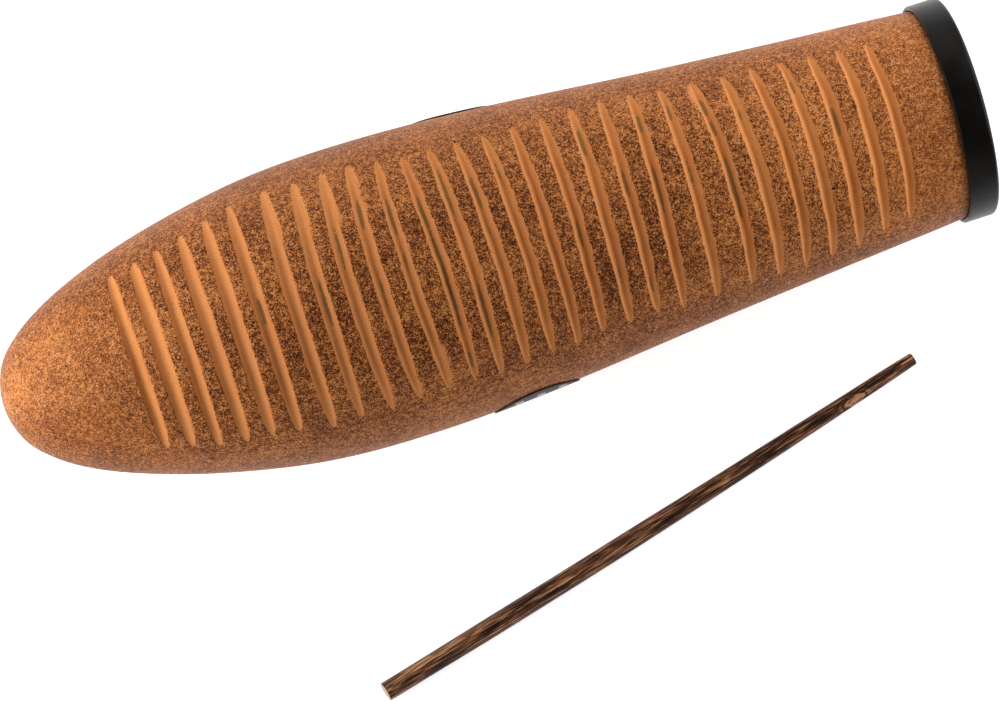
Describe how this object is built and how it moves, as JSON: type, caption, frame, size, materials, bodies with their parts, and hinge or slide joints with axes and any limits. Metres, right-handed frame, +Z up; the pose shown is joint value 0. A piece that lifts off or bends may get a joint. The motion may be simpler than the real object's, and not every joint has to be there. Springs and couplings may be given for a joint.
{
  "type": "guiro",
  "caption": "Gourd-shaped ribbed scraping percussion instrument with a speckled shell, an open mouth with a rim ring, side labels and a loose wooden scraper lying beside it.",
  "frame": {"origin": "floor level under the middle of the bounding box of the shell and scraper as they lie", "axes": "+X from the shell's closed nose to its open mouth (level projection of the shell's axis), +Z up with the grooves on top, scraper on the -Y side"},
  "size_m": [0.4066, 0.2185, 0.1233],
  "materials": {
    "shell": "satin speckled gel coat over moulded fibre laminate",
    "rim_ring": "satin black",
    "label_left": "satin printed label",
    "label_right": "satin printed label",
    "scraper": "satin dark palm wood"
  },
  "bodies": {
    "guiro": {"shell": "shell", "rim_ring": "rim_ring", "label_left": "label_left", "label_right": "label_right"},
    "scraper": {"scraper": "scraper"}
  },
  "joints": [
    {"name": "scraper_lift", "type": "slide", "parent": "guiro", "child": "scraper", "axis": [0, 0, 1], "range_m": [0, 0.15]}
  ]
}
